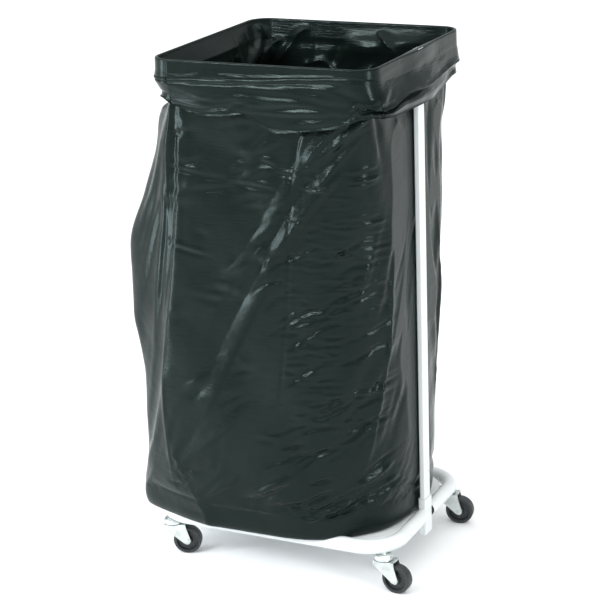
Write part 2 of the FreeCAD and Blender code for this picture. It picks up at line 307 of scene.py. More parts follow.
def wheel_plastic():
    """Black moulded wheel, satin, with a dusty scuffed tread."""
    m = Shading("wheel_plastic", specular=0.5)
    m.colours(
        m.noise(120, detail=6, roughness=0.65),
        [(0.35, (0.012, 0.015, 0.016)), (0.62, (0.022, 0.026, 0.028)), (0.85, (0.06, 0.064, 0.064))],
    )
    m.roughness(m.noise(220, detail=5), 0.34, 0.6)
    m.bump(m.noise(1100, detail=2), 0.00012, 0.5)
    return m.material


def black_plastic():
    """The post's plug."""
    m = Shading("black_plastic", specular=0.4)
    m.colours(m.noise(150), [(0.3, (0.016, 0.016, 0.016)), (0.7, (0.026, 0.026, 0.026))])
    m.roughness(m.noise(260), 0.42, 0.62)
    m.bump(m.noise(1300), 0.0001, 0.5)
    return m.material


def film():
    """Thin black polyethylene: glossy, faintly green, crinkled, with draw lines along its length."""
    m = Shading("film", specular=0.14)
    m.shader.inputs["Specular Tint"].default_value = (0.78, 1.0, 0.94, 1)
    m.shader.inputs["Sheen Weight"].default_value = 0.05
    m.shader.inputs["Sheen Roughness"].default_value = 0.35
    m.shader.inputs["Sheen Tint"].default_value = (0.55, 1.0, 0.84, 1)
    m.colours(
        m.noise(11, stretch=(1, 1, 0.5), detail=5),
        [(0.3, (0.0035, 0.0068, 0.0058)), (0.7, (0.0065, 0.0105, 0.0095))],
    )
    m.roughness(m.noise(55, stretch=(1, 1, 0.4), detail=5), 0.15, 0.27)
    m.bump(m.noise(150, stretch=(1, 1, 0.02), detail=2), 0.0002, 0.4)
    m.bump(m.noise(60, stretch=(0.35, 0.35, 2.4), detail=4, distortion=0.6), 0.0012, 0.3)
    m.bump(m.noise(170, stretch=(0.3, 0.3, 2.2), detail=4), 0.0008, 0.42)
    m.bump(m.noise(420, detail=3), 0.0004, 0.35)
    return m.material


def paint_frame():
    """Each CAD node that stays visible takes the material of its own slot."""
    makers = {
        "powder_coat": powder_coat,
        "zinc": zinc,
        "bearing_steel": bearing_steel,
        "wheel_plastic": wheel_plastic,
        "black_plastic": black_plastic,
    }
    made = {}
    for part in frame["record"]["subparts"]:
        slot = part["material_slot"]
        if slot not in makers:
            continue
        if slot not in made:
            made[slot] = makers[slot]()
        mesh = frame["nodes"][part["node"]].data
        mesh.materials.clear()
        mesh.materials.append(made[slot])


# ---- The sack's level outlines ---------------------------------------------------------
# A place round the sack is a fraction from 0 to 1, anticlockwise from above. It starts at
# the front left crease, and passes the front, the side with the post, the back and the left.

FILM_GAP = 0.0009  # between the film and the strip that it is folded over
POST_PROUD = 0.003  # how far the post stands out past the strip, on both faces
POST_SPREAD = 0.07  # the film comes back to the strip over this distance beside the post
MARGIN = 0.002  # to either side of an edge of the strip or the post
NECK_INSET = -STRIP_T - FILM_GAP
CUFF_TOP = rim_high.z - 0.0035  # where the film starts to turn over the strip's top edge
TOP_BLEND = 0.012  # folds die out over this height below it
BODY_LOW = 0.112  # where the wall turns under into the bottom
SACK_RIGHT = POST_FACE - 0.004
RIM_START_X = -0.108  # where the places round the rim start
ARC_POINTS = {"rim": 24, "wall": 40}  # in a quarter turn
BULGE_POINTS = 240  # in the outline of the left half
EDGE_SHARPNESS = 12  # of the fold at the left edge
SAME_PLACE = 1e-6

# Each outline runs through (height, value) knots
RIDGE_X = [
    (0.868, -0.106), (0.842, -0.100), (0.822, -0.114), (0.66, -0.127),
    (0.49, -0.139), (0.308, -0.149), (0.11, -0.138),
]
# How far right of the front left crease the left panel starts
BULGE_X = [(0.868, 0), (0.34, 0), (0.22, 0.01), (0.11, 0.06)]
LEFT_X = [
    (0.868, -0.121), (0.842, -0.116), (0.828, -0.122), (0.808, -0.150), (0.73, -0.181),
    (0.66, -0.208), (0.56, -0.242), (0.45, -0.246), (0.3, -0.226), (0.11, -0.230),
]
# Where the left panel meets the left side, as a share of half the sack's depth
LEFT_EDGE = [(0.868, 0.9), (0.828, 0.85), (0.80, 0.76), (0.74, 0.75), (0.11, 0.75)]
HALF_Y = [
    (0.868, 0.190), (0.842, 0.182), (0.815, 0.186), (0.6, 0.191),
    (0.4, 0.196), (0.2, 0.203), (0.11, 0.202),
]
RIGHT_X = [
    (0.868, 0.241), (0.842, 0.233), (0.815, 0.237), (0.77, SACK_RIGHT),
    (0.2, SACK_RIGHT), (0.11, 0.236),
]
RIGHT_CORNER = [
    (0.868, 0.032), (0.815, 0.036), (0.74, 0.080), (0.6, 0.102), (0.3, 0.142), (0.11, 0.176),
]


def arc(middle, radius, start, stop, count):
    """Points on a level arc, angles in degrees."""
    angle = np.radians(np.linspace(start, stop, count))
    return np.c_[middle[0] + radius * np.cos(angle), middle[1] + radius * np.sin(angle)]


def along(points, place):
    """Points at fractions of a closed polyline's length."""
    closed = np.vstack([points, points[:1]])
    run = np.r_[0, np.cumsum(np.linalg.norm(np.diff(closed, axis=0), axis=1))]
    at = (np.asarray(place) % 1.0) * run[-1]
    return np.c_[np.interp(at, run, closed[:, 0]), np.interp(at, run, closed[:, 1])]


def rim_outline():
    """The strip's outside face, from above."""
    half = RIM_HALF - RIM_CORNER
    points = [np.array([[RIM_START_X, -RIM_HALF]])]
    for side_x, side_y, start in ((1, -1, -90), (1, 1, 0), (-1, 1, 90), (-1, -1, 180)):
        middle = (RIM_X + side_x * half, side_y * half)
        points.append(arc(middle, RIM_CORNER, start, start + 90, ARC_POINTS["rim"]))
    return np.vstack(points)


def body_outline(height):
    """The sack's outline at a height below the rim, from its front left crease."""
    ridge, left = through(RIDGE_X, height), through(LEFT_X, height)
    half_y, edge = through(HALF_Y, height), through(LEFT_EDGE, height)
    right, corner = through(RIGHT_X, height), through(RIGHT_CORNER, height)
    start = ridge + through(BULGE_X, height)
    # A flat panel from the crease to the left edge, the left side, and a panel behind
    across = np.linspace(1, -1, BULGE_POINTS)
    lean = (1 - np.abs(across)) / (1 - edge)
    out = -np.log(np.exp(-EDGE_SHARPNESS * lean) + np.exp(-EDGE_SHARPNESS)) / EDGE_SHARPNESS
    bulge = np.c_[start - (start - left) * out, half_y * across]
    front_half = bulge[bulge[:, 1] < 0]
    at_crease = np.interp(-ridge, -front_half[::-1, 0], front_half[::-1, 1])
    past_crease = (bulge[:, 0] > ridge + SAME_PLACE) & (bulge[:, 1] < 0)
    before_crease = (bulge[:, 0] < ridge - SAME_PLACE) | (bulge[:, 1] > 0)
    return np.vstack([
        [[ridge, at_crease]],
        bulge[past_crease],
        arc((right - corner, -half_y + corner), corner, -90, 0, ARC_POINTS["wall"]),
        arc((right - corner, half_y - corner), corner, 0, 90, ARC_POINTS["wall"]),
        bulge[~past_crease & before_crease],
    ])


def places(columns):
    return np.arange(columns) / columns


def rim_places(columns):
    """The strip's outside points and level outward normals at each column."""
    points = along(rim_outline(), places(columns))
    tangent = np.roll(points, -1, axis=0) - np.roll(points, 1, axis=0)
    tangent /= np.linalg.norm(tangent, axis=1, keepdims=True)
    return points, np.c_[tangent[:, 1], -tangent[:, 0]]


def near_place(place, middle, reach):
    """1 at a place round the sack, falling smoothly to 0 at reach either side."""
    gap = np.abs((place - middle + 0.5) % 1.0 - 0.5)
    return smoothstep(1 - gap / reach)


def past_post(points):
    """How far the film stands off the strip to pass over the post."""
    on_side = points[:, 0] > RIM_X + RIM_HALF - MARGIN
    beside = np.abs(points[:, 1]) - POST_HALF - MARGIN
    return POST_PROUD * (on_side * smoothstep(1 - beside / POST_SPREAD))


# ---- Grids: rows of points, each row once round the sack --------------------------------


def outward(grid):
    """Unit normals of a grid whose rows run down the outside."""
    round_it = np.roll(grid, -1, axis=1) - np.roll(grid, 1, axis=1)
    down = np.gradient(grid, axis=0)
    normal = np.cross(down, round_it)
    return normal / np.maximum(np.linalg.norm(normal, axis=2, keepdims=True), 1e-9)


def cubic(values, at):
    """Catmull-Rom interpolation along the first axis."""
    i = np.floor(at).astype(int)
    t = (at - i).reshape((-1,) + (1,) * (values.ndim - 1))
    a, b, c, d = (values[np.clip(i + k, 0, len(values) - 1)] for k in (-1, 0, 1, 2))
    squared = (2 * a - 5 * b + 4 * c - d) * t**2
    cubed = (3 * b - a - 3 * c + d) * t**3
    return 0.5 * (2 * b + (c - a) * t + squared + cubed)


def resample(grid, rows, columns):
    """The grid at another resolution."""
    pad = 3
    wrapped = np.concatenate([grid[:, -pad:], grid, grid[:, :pad]], axis=1)
    tall = cubic(wrapped, np.linspace(0, grid.shape[0] - 1, rows))
    at = pad + np.arange(columns) * grid.shape[1] / columns
    return cubic(tall.transpose(1, 0, 2), at).transpose(1, 0, 2)


def grid_mesh(name, grid, close_end=False):
    """A mesh of a grid. close_end fills the ring that its last row makes."""
    rows, columns = grid.shape[:2]
    index = np.arange(rows * columns).reshape(rows, columns)
    across = np.roll(index, -1, axis=1)
    corners = [index[1:], across[1:], across[:-1], index[:-1]]
    faces = np.stack(corners, axis=-1).reshape(-1, 4).tolist()
    points = grid.reshape(-1, 3).tolist()
    if close_end:
        middle = len(points)
        points.append(grid[-1].mean(axis=0).tolist())
        faces += [[middle, b, a] for a, b in zip(index[-1].tolist(), across[-1].tolist())]
    mesh = bpy.data.meshes.new(name)
    mesh.from_pydata(points, [], faces)
    return mesh


# ---- Folds -----------------------------------------------------------------------------

FLAP_STEEPNESS = 2.8  # of a flap's narrow side, against its broad side
FLAP_REACH, FLAP_ROUNDING, FLAP_TOP = 1.18, 0.05, 0.956


def flap(gap, side):
    """A ridge with one broad side, on the right of its path, and one steep side."""
    run = gap * np.where(side < 0, 1, FLAP_STEEPNESS)
    return np.maximum(0, FLAP_REACH - np.sqrt(run**2 + FLAP_ROUNDING)) / FLAP_TOP


class Relief:
    """Height for each point of a grid, built up from folds and added along the normals.

    A fold lies on one face of the sack, and its path is points on that face: x and height
    on the front and back, y and height on the right and left.
    """

    # Height at a gap from the path, in widths, on its left (side 1) or right (side -1)
    SHAPES = {
        "roll": lambda gap, side: np.exp(-(gap**2)),
        "crease": lambda gap, side: np.exp(-gap),
        "pair": lambda gap, side: side * gap * np.exp(0.5 - gap**2 / 2),
        "shelf": lambda gap, side: side * (1 - np.exp(-gap)) * np.exp(-((gap / 6) ** 2)),
        "flap": flap,
    }
    REACH, SHELF_REACH = 5, 12  # how many widths a fold reaches from its path
    FACING, FACING_BLEND = 0.1, 0.3  # a fold fades where the grid turns away from its face
    PATH_STEPS = 6  # for each point of a path
    GIRTH = 1.5  # of the sack, in metres, roughly

    def __init__(self, grid):
        self.grid = grid
        self.normals = outward(grid)
        self.height = np.zeros(grid.shape[:2])
        x, y, z = np.moveaxis(grid, 2, 0)
        normal_x, normal_y = self.normals[..., 0], self.normals[..., 1]
        self.faces = {
            "front": (x, z, -normal_y),
            "right": (y, z, normal_x),
            "back": (x, z, normal_y),
            "left": (y, z, -normal_x),
        }

    def fold(self, face, path, depth, width, shape="roll", fade=(0.3, 0.3)):
        """One fold. fade is the share of the path over which it rises, and over which it dies."""
        across, up, facing = self.faces[face]
        path = np.array(path, float)
        path = cubic(path, np.linspace(0, len(path) - 1, self.PATH_STEPS * len(path)))
        reach = width * (self.SHELF_REACH if shape == "shelf" else self.REACH)
        near = (
            (facing > self.FACING)
            & (across > path[:, 0].min() - reach) & (across < path[:, 0].max() + reach)
            & (up > path[:, 1].min() - reach) & (up < path[:, 1].max() + reach)
        )
        if not near.any():
            return
        start, step = path[:-1], np.diff(path, axis=0)
        length = np.linalg.norm(step, axis=1)
        offset = np.c_[across[near], up[near]][:, None, :] - start
        t = np.clip((offset * step).sum(axis=2) / length**2, 0, 1)
        gaps = np.linalg.norm(offset - t[..., None] * step, axis=2)
        best = gaps.argmin(axis=1)
        rows = np.arange(len(best))
        run = (np.r_[0, np.cumsum(length)][best] + t[rows, best] * length[best]) / length.sum()
        turn = step[best, 0] * offset[rows, best, 1] - step[best, 1] * offset[rows, best, 0]
        strength = rising(facing[near], self.FACING, self.FACING_BLEND)
        for share, done in zip(fade, (run, 1 - run)):
            if share:
                strength = strength * smoothstep(done / share)
        profile = self.SHAPES[shape](gaps[rows, best] / width, np.sign(turn))
        self.height[near] += depth * strength * profile

    def scatter(
        self, rng, face, count, across, up, angle, length, depth, width, shape="pair", bend=0.25
    ):
        """A family of short folds, each within the given ranges, with its angle in degrees."""
        for _ in range(count):
            middle = np.array([rng.uniform(*across), rng.uniform(*up)])
            turn = math.radians(rng.uniform(*angle))
            half = rng.uniform(*length) / 2 * np.array([math.cos(turn), math.sin(turn)])
            bow = rng.uniform(-bend, bend) * np.array([-half[1], half[0]])
            path = [middle - half, middle + bow, middle + half]
            self.fold(face, path, rng.uniform(*depth), rng.uniform(*width), shape, (0.5, 0.5))

    def ripple(self, rng, wave_round, wave_up, depth, where=1.0):
        """Smooth random relief over the whole grid, with about the given wavelengths."""
        turn = 2 * np.pi * places(self.height.shape[1])
        up = self.grid[..., 2]
        total = np.zeros(self.height.shape)
        for octave in range(3):
            for _ in range(8):
                finer = 2**octave
                waves = max(1, round(self.GIRTH / wave_round * finer * rng.uniform(0.5, 1.4)))
                climb = 2 * np.pi / wave_up * finer * rng.uniform(0.5, 1.4) * rng.choice([-1, 1])
                phase = rng.uniform(0, 2 * np.pi, 3)
                bends = np.sin(rng.integers(1, 6) * turn + phase[1]) * np.sin(9 * up + phase[2])
                total += np.sin(waves * turn + climb * up + phase[0] + 1.5 * bends) / finer
        self.height += depth / 3 * where * total

    def raised(self):
        return self.grid + self.normals * self.height[..., None]


# ---- The cuff: down the outside of the rim from its top --------------------------------

# Hem heights at places round the sack
HEM = [
    (0.0, 0.826), (0.02, 0.819), (0.035, 0.813), (0.062, 0.814), (0.09, 0.819), (0.112, 0.802),
    (0.131, 0.793), (0.165, 0.799), (0.199, 0.807), (0.234, 0.824), (0.262, 0.818), (0.344, 0.812),
    (0.387, 0.810), (0.448, 0.819), (0.484, 0.824), (0.54, 0.816), (0.6, 0.81), (0.68, 0.818),
    (0.734, 0.83), (0.8, 0.824), (0.87, 0.831), (0.93, 0.828), (0.983, 0.833), (1.0, 0.826),
]
# A groove under the strip, along its low edge except where it climbs to the front right
GROOVE = [
    (0.0, 0.870), (0.1, 0.8765), (0.215, 0.886), (0.26, 0.874), (0.3, 0.870), (0.5, 0.870),
    (1.0, 0.870),
]
# The right side's upper band ends in a lip that overhangs a lower band
LIP = [(0.21, 0.838), (0.25, 0.834), (0.303, 0.843), (0.359, 0.839), (0.44, 0.846)]

# Where the lip comes in and ends, and the groove ends and comes back: (place, blend)
LIP_FROM, LIP_TO = (0.222, 0.02), (0.492, 0.03)
GROOVE_TO, GROOVE_FROM = (0.215, 0.035), (0.5, 0.05)

# How far down the cuff, as (share of its rows, stage): 3 is its top, 2 the groove, 1 the lip
# and 0 the hem
PLAIN_STAGE = [(0, 3), (0.35, 2), (0.6, 1), (1, 0)]
LIP_STAGE = [
    (0, 3), (0.35, 2), (0.54, 1), (0.6, 1.2), (0.63, 1.0), (0.72, 0.5), (0.78, 0.38), (1, 0),
]
# How far the film stands out from the strip there
PLAIN_OUT = [(0, 0), (0.3, 0.0004), (0.4, 0.0036), (0.6, 0.0042), (0.94, 0.0040), (1, 0.0056)]
GROOVED_OUT = [
    (0, 0), (0.2, 0.0003), (0.31, 0.0015), (0.33, 0.0018), (0.34, 0.0002), (0.36, 0.0024),
    (0.38, 0.0032), (0.39, 0.0034), (0.40, 0.0008), (0.42, 0.0030), (0.45, 0.0046),
    (0.6, 0.0044), (0.94, 0.0040), (1, 0.0056),
]
LIP_OUT = [
    (0, 0), (0.33, 0.0006), (0.5, 0.0066), (0.54, 0.0090), (0.56, 0.0078), (0.6, 0.0006),
    (1, 0.0006),
]
UNDER_LIP_OUT = [(0, 0), (0.63, 0), (0.72, 0.0066), (0.78, 0.0074), (0.95, 0.0058), (1, 0.0064)]
# The size of the last two at places round the right side
LIP_SIZE = [
    (0.2, 0.2), (0.235, 1.1), (0.265, 1.9), (0.31, 2.0), (0.37, 1.5), (0.43, 1.0), (0.5, 0.2),
]
UNDER_LIP_SIZE = [
    (0.2, 0.6), (0.235, 1.1), (0.265, 1.9), (0.31, 1.6), (0.37, 0.9), (0.42, 0.0), (0.47, -0.9),
    (0.5, -0.9),
]
# How far the film is drawn in beside the front left corner, by share of the cuff's rows
TUCK = [(0.40, 0), (0.7, 0.014), (1, 0.013)]
TUCK_MIDDLE, TUCK_REACH = 0.985, 0.07
LEFT_TUCK, LEFT_TUCK_MIDDLE, LEFT_TUCK_REACH = 0.4, 0.86, 0.2  # a weaker one on the left side


def cuff_grid(rows, columns):
    """The cuff before it is folded, from its top to its hem."""
    place = places(columns)
    points, normals = rim_places(columns)
    post = past_post(points)
    right = rising(place, *LIP_FROM) * falling(place, *LIP_TO)
    grooved = falling(place, *GROOVE_TO) + rising(place, *GROOVE_FROM)
    tucked = np.maximum(
        near_place(place, TUCK_MIDDLE, TUCK_REACH),
        LEFT_TUCK * near_place(place, LEFT_TUCK_MIDDLE, LEFT_TUCK_REACH),
    )
    lip_size, under_size = through(LIP_SIZE, place), through(UNDER_LIP_SIZE, place)
    top = np.full(columns, CUFF_TOP)
    levels = [through(HEM, place), through(LIP, place), through(GROOVE, place), top]

    def height(stage):
        """The height at a stage, at each place."""
        total = levels[0]
        for i in range(3):
            total = total + (levels[i + 1] - levels[i]) * np.clip(stage - i, 0, 1)
        return total

    grid = np.zeros((rows, columns, 3))
    for i, t in enumerate(np.linspace(0, 1, rows)):
        plain_out = grooved * through(GROOVED_OUT, t) + (1 - grooved) * through(PLAIN_OUT, t)
        plain_out = plain_out - through(TUCK, t) * tucked
        lip_out = through(LIP_OUT, t) * lip_size + through(UNDER_LIP_OUT, t) * under_size
        out = FILM_GAP + (1 - right) * plain_out + right * (lip_out + post)
        plain_height, lip_height = height(through(PLAIN_STAGE, t)), height(through(LIP_STAGE, t))
        grid[i, :, :2] = points + normals * out[:, None]
        grid[i, :, 2] = (1 - right) * plain_height + right * lip_height
    return grid


# ---- The cuff's folds ------------------------------------------------------------------

CUFF_GIVE = 0.004  # the deepest that a fold dents the cuff below the strip
CUFF_RIPPLE_TOP, CUFF_RIPPLE_BLEND = CUFF_TOP - 0.02, 0.03

# The hem's first line runs on to the right as a fold, and a step runs below it
CUFF_FOLDS = [
    ("front", [(-0.125, 0.836), (-0.08, 0.826), (-0.03, 0.824), (0.02, 0.834), (0.06, 0.843)],
     -0.0022, 0.0032, "roll", (0.2, 0.4)),
    ("front", [(0.0, 0.817), (0.05, 0.823), (0.1, 0.834), (0.15, 0.84)],
     0.0018, 0.006, "shelf", (0.2, 0.5)),
]
# Folds drawn out of the gathered front right corner, as (path, depth)
GATHERED_FRONT = [
    ([(0.243, 0.836), (0.12, 0.846), (-0.03, 0.85)], 0.0018),
    ([(0.243, 0.832), (0.14, 0.832), (0.03, 0.826)], 0.0020),
    ([(0.243, 0.841), (0.15, 0.858), (0.05, 0.866)], 0.0016),
    ([(0.240, 0.846), (0.17, 0.868), (0.11, 0.874)], 0.0014),
    ([(0.243, 0.828), (0.16, 0.818), (0.08, 0.806)], 0.0022),
    ([(0.243, 0.826), (0.2, 0.814), (0.15, 0.804)], 0.0020),
]
GATHERED_RIGHT = [
    ([(-0.187, 0.833), (-0.12, 0.862)], 0.0022),
    ([(-0.187, 0.829), (-0.10, 0.848)], 0.0024),
    ([(-0.187, 0.825), (-0.13, 0.822)], 0.0020),
]
CUFF_FAMILIES = [
    # Short nicks in the gathered corner
    dict(face="front", count=8, across=(0.222, 0.246), up=(0.822, 0.84), angle=(-30, 50),
         length=(0.012, 0.026), depth=(0.0012, 0.0028), width=(0.0024, 0.0036)),
    dict(face="right", count=6, across=(-0.19, -0.172), up=(0.822, 0.842), angle=(20, 100),
         length=(0.012, 0.026), depth=(0.0012, 0.0026), width=(0.0024, 0.0036)),
    # Faint, nearly level lines along the cuff
    dict(face="front", count=18, across=(-0.08, 0.2), up=(0.82, 0.862), angle=(-5, 9),
         length=(0.1, 0.22), depth=(0.0002, 0.0007), width=(0.003, 0.005)),
    dict(face="right", count=14, across=(-0.12, 0.16), up=(0.815, 0.88), angle=(-3, 10),
         length=(0.1, 0.2), depth=(0.0002, 0.0007), width=(0.004, 0.008)),
    dict(face="back", count=34, across=(-0.11, 0.22), up=(0.82, 0.862), angle=(-12, 12),
         length=(0.06, 0.16), depth=(0.0004, 0.0014), width=(0.003, 0.006)),
    dict(face="left", count=30, across=(-0.17, 0.17), up=(0.83, 0.862), angle=(-14, 14),
         length=(0.06, 0.14), depth=(0.0004, 0.0014), width=(0.003, 0.006)),
]


def fold_cuff(grid):
    """The cuff with its folds, none of which reaches into the strip."""
    rng = np.random.default_rng(SEED)
    relief = Relief(grid)
    height = grid[..., 2]
    below_top = falling(height, CUFF_RIPPLE_TOP, CUFF_RIPPLE_BLEND)
    relief.ripple(rng, wave_round=0.3, wave_up=0.12, depth=0.0005, where=below_top)
    for fold in CUFF_FOLDS:
        relief.fold(*fold)
    for path, depth in GATHERED_FRONT:
        relief.fold("front", path, depth, width=0.0058, shape="pair", fade=(0.08, 0.7))
    for path, depth in GATHERED_RIGHT:
        relief.fold("right", path, depth, width=0.006, shape="pair", fade=(0.1, 0.7))
    for family in CUFF_FAMILIES:
        relief.scatter(rng, **family)
    points, normals = rim_places(grid.shape[1])
    stands_off = ((grid[..., :2] - points) * normals).sum(axis=2) - FILM_GAP / 2
    against_strip = height > rim_low.z - MARGIN
    deepest = np.where(against_strip, -np.maximum(stands_off, 0), -CUFF_GIVE)
    relief.height = np.maximum(relief.height * falling(height, CUFF_TOP, TOP_BLEND), deepest)
    return relief.raised()


# ---- Over the rim, and down inside the strip -------------------------------------------

# The film's path over the strip's top edge: (share of the way across, height above CUFF_TOP)
OVER_RIM = [
    (0.02, 0.0022), (0.1, 0.0034), (0.25, 0.0041), (0.5, 0.0044), (0.75, 0.0041), (0.9, 0.0034),
    (0.98, 0.0022),
]
# How far the film leans in at the strip's low edge: all round, and more on the left
SLUMP, LEFT_SLUMP = 0.004, 0.015
LEFT_SLUMP_MIDDLE, LEFT_SLUMP_REACH = 0.85, 0.17


def inside_strip(columns, depth):
    """Points just inside the strip, at a depth below the cuff's top."""
    points, normals = rim_places(columns)
    more_left = near_place(places(columns), LEFT_SLUMP_MIDDLE, LEFT_SLUMP_REACH)
    leaning = (SLUMP + LEFT_SLUMP * more_left) * depth / (CUFF_TOP - rim_low.z)
    out = NECK_INSET - past_post(points) - leaning
    return np.c_[points + normals * out[:, None], np.full(columns, CUFF_TOP - depth)]


def over_rim(columns):
    """The rows that turn over the strip's top edge."""
    points, normals = rim_places(columns)
    post = past_post(points)
    outer, inner = FILM_GAP + post, NECK_INSET - post
    rows = []
    for share, lift in OVER_RIM:
        out = outer + (inner - outer) * share
        rows.append(np.c_[points + normals * out[:, None], np.full(columns, CUFF_TOP + lift)])
    return np.stack(rows)


def down_inside(rows, columns):
    """From the rim's top to where the wall starts."""
    depths = np.linspace(0, CUFF_TOP - rim_low.z, rows + 1)[:-1]
    return np.stack([inside_strip(columns, depth) for depth in depths])


# ---- The wall --------------------------------------------------------------------------

NECK_LOW = 0.845  # by this height the wall has left the strip's outline
SIM_ROWS, SIM_COLUMNS, SIM_FRAMES = 130, 260, 40
ROOM_ROUND, ROOM_ALONG = 1.035, 1.02  # the cloth's own size against the shape it starts in
# How firmly the pins hold the cloth between its ends, and the shares of its rows at the top
# and at the foot that they hold more firmly
LOOSE_HOLD, TOP_HELD, FOOT_HELD = 0.05, 0.04, 0.035
# How far a point may move as it settles: by the cuff, how much more below it, and where
MOVE_AT_CUFF, MOVE_MORE = 0.003, 0.007
MOVE_MORE_BELOW, MOVE_BLEND = 0.84, 0.1


def smooth_wall(rows, columns):
    """The wall from the strip's low edge to the bottom, with no folds."""
    place = places(columns)
    grid = np.zeros((rows, columns, 3))
    tight = inside_strip(columns, CUFF_TOP - rim_low.z)[:, :2]
    for i, height in enumerate(np.linspace(rim_low.z, BODY_LOW, rows)):
        held = rising(height, NECK_LOW, rim_low.z - NECK_LOW)
        grid[i, :, :2] = held * tight + (1 - held) * along(body_outline(height), place)
        grid[i, :, 2] = height
    return grid


def slack_tube(grid):
    """A round tube with the grid's girth and drop, and a little more: the cloth's own size."""
    rows, columns = grid.shape[:2]
    girth = np.linalg.norm(np.roll(grid, -1, axis=1) - grid, axis=2).sum(axis=1)
    radius = ROOM_ROUND * girth / (2 * np.pi)
    drop = np.linspace(0, ROOM_ALONG * (grid[0, 0, 2] - grid[-1, 0, 2]), rows)
    angle = 2 * np.pi * places(columns)
    x, y = np.outer(radius, np.cos(angle)), np.outer(radius, np.sin(angle))
    return np.stack([x, y, np.outer(-drop, np.ones(columns))], axis=-1)


def settle(grid):
    """The wall after it has settled as cloth a little larger than the shape it starts in."""
    rows, columns = grid.shape[:2]
    piece = bpy.data.objects.new("settling", grid_mesh("settling", grid))
    add_to_scene(piece)
    held = piece.vertex_groups.new(name="held")
    level = np.arange(rows) / (rows - 1)
    at_ends = smoothstep(1 - level / TOP_HELD) + rising(level, 1 - FOOT_HELD, FOOT_HELD)
    weight = LOOSE_HOLD + (1 - LOOSE_HOLD) * at_ends
    for i in range(rows):
        held.add(range(i * columns, (i + 1) * columns), float(min(weight[i], 1.0)), "REPLACE")

    piece.shape_key_add(name="start")
    relaxed = piece.shape_key_add(name="relaxed")
    relaxed.data.foreach_set("co", slack_tube(grid).reshape(-1))
    relaxed.value = 0.0

    cloth = piece.modifiers.new("cloth", "CLOTH")
    settings = cloth.settings
    settings.quality = 6
    settings.mass = 0.05
    settings.air_damping = 2.0
    settings.tension_stiffness = settings.compression_stiffness = 40
    settings.shear_stiffness = 8
    settings.bending_stiffness = 0.08
    settings.vertex_group_mass = "held"
    settings.pin_stiffness = 0.6
    settings.rest_shape_key = relaxed
    settings.use_pressure = True
    settings.uniform_pressure_force = 0.5
    settings.effector_weights.gravity = 0.3
    cloth.collision_settings.use_collision = False
    cloth.point_cache.frame_end = SIM_FRAMES
    for step in range(1, SIM_FRAMES + 1):
        bpy.context.scene.frame_set(step)
    settled = piece.evaluated_get(bpy.context.evaluated_depsgraph_get())
    points = np.zeros(rows * columns * 3)
    settled.data.vertices.foreach_get("co", points)
    bpy.context.scene.frame_set(1)
    bpy.data.objects.remove(piece)

    moved = points.reshape(rows, columns, 3) - grid
    most = MOVE_AT_CUFF + MOVE_MORE * falling(grid[..., 2:], MOVE_MORE_BELOW, MOVE_BLEND)
    size = np.maximum(np.linalg.norm(moved, axis=2, keepdims=True), 1e-9)
    return grid + moved * np.minimum(1, most * np.tanh(size / most) / size)


# ---- The wall's folds ------------------------------------------------------------------
# A fold is (face, path, depth, width, shape, fade), as Relief.fold takes them.

# The sack's own creases, where it was folded flat
RIDGE_HEIGHTS = (0.84, 0.75, 0.66, 0.57, 0.49, 0.4, 0.31, 0.22, 0.13)
RIGHT_CREASE = [(-0.072, 0.807), (-0.09, 0.66), (-0.106, 0.5), (-0.127, 0.337), (-0.15, 0.2)]
FAR_CREASE = [(0.1, 0.80), (0.1, 0.6), (0.105, 0.43), (0.08, 0.25)]
LEFT_CREASE = [(0.06, 0.78), (0.05, 0.5), (0.07, 0.2)]

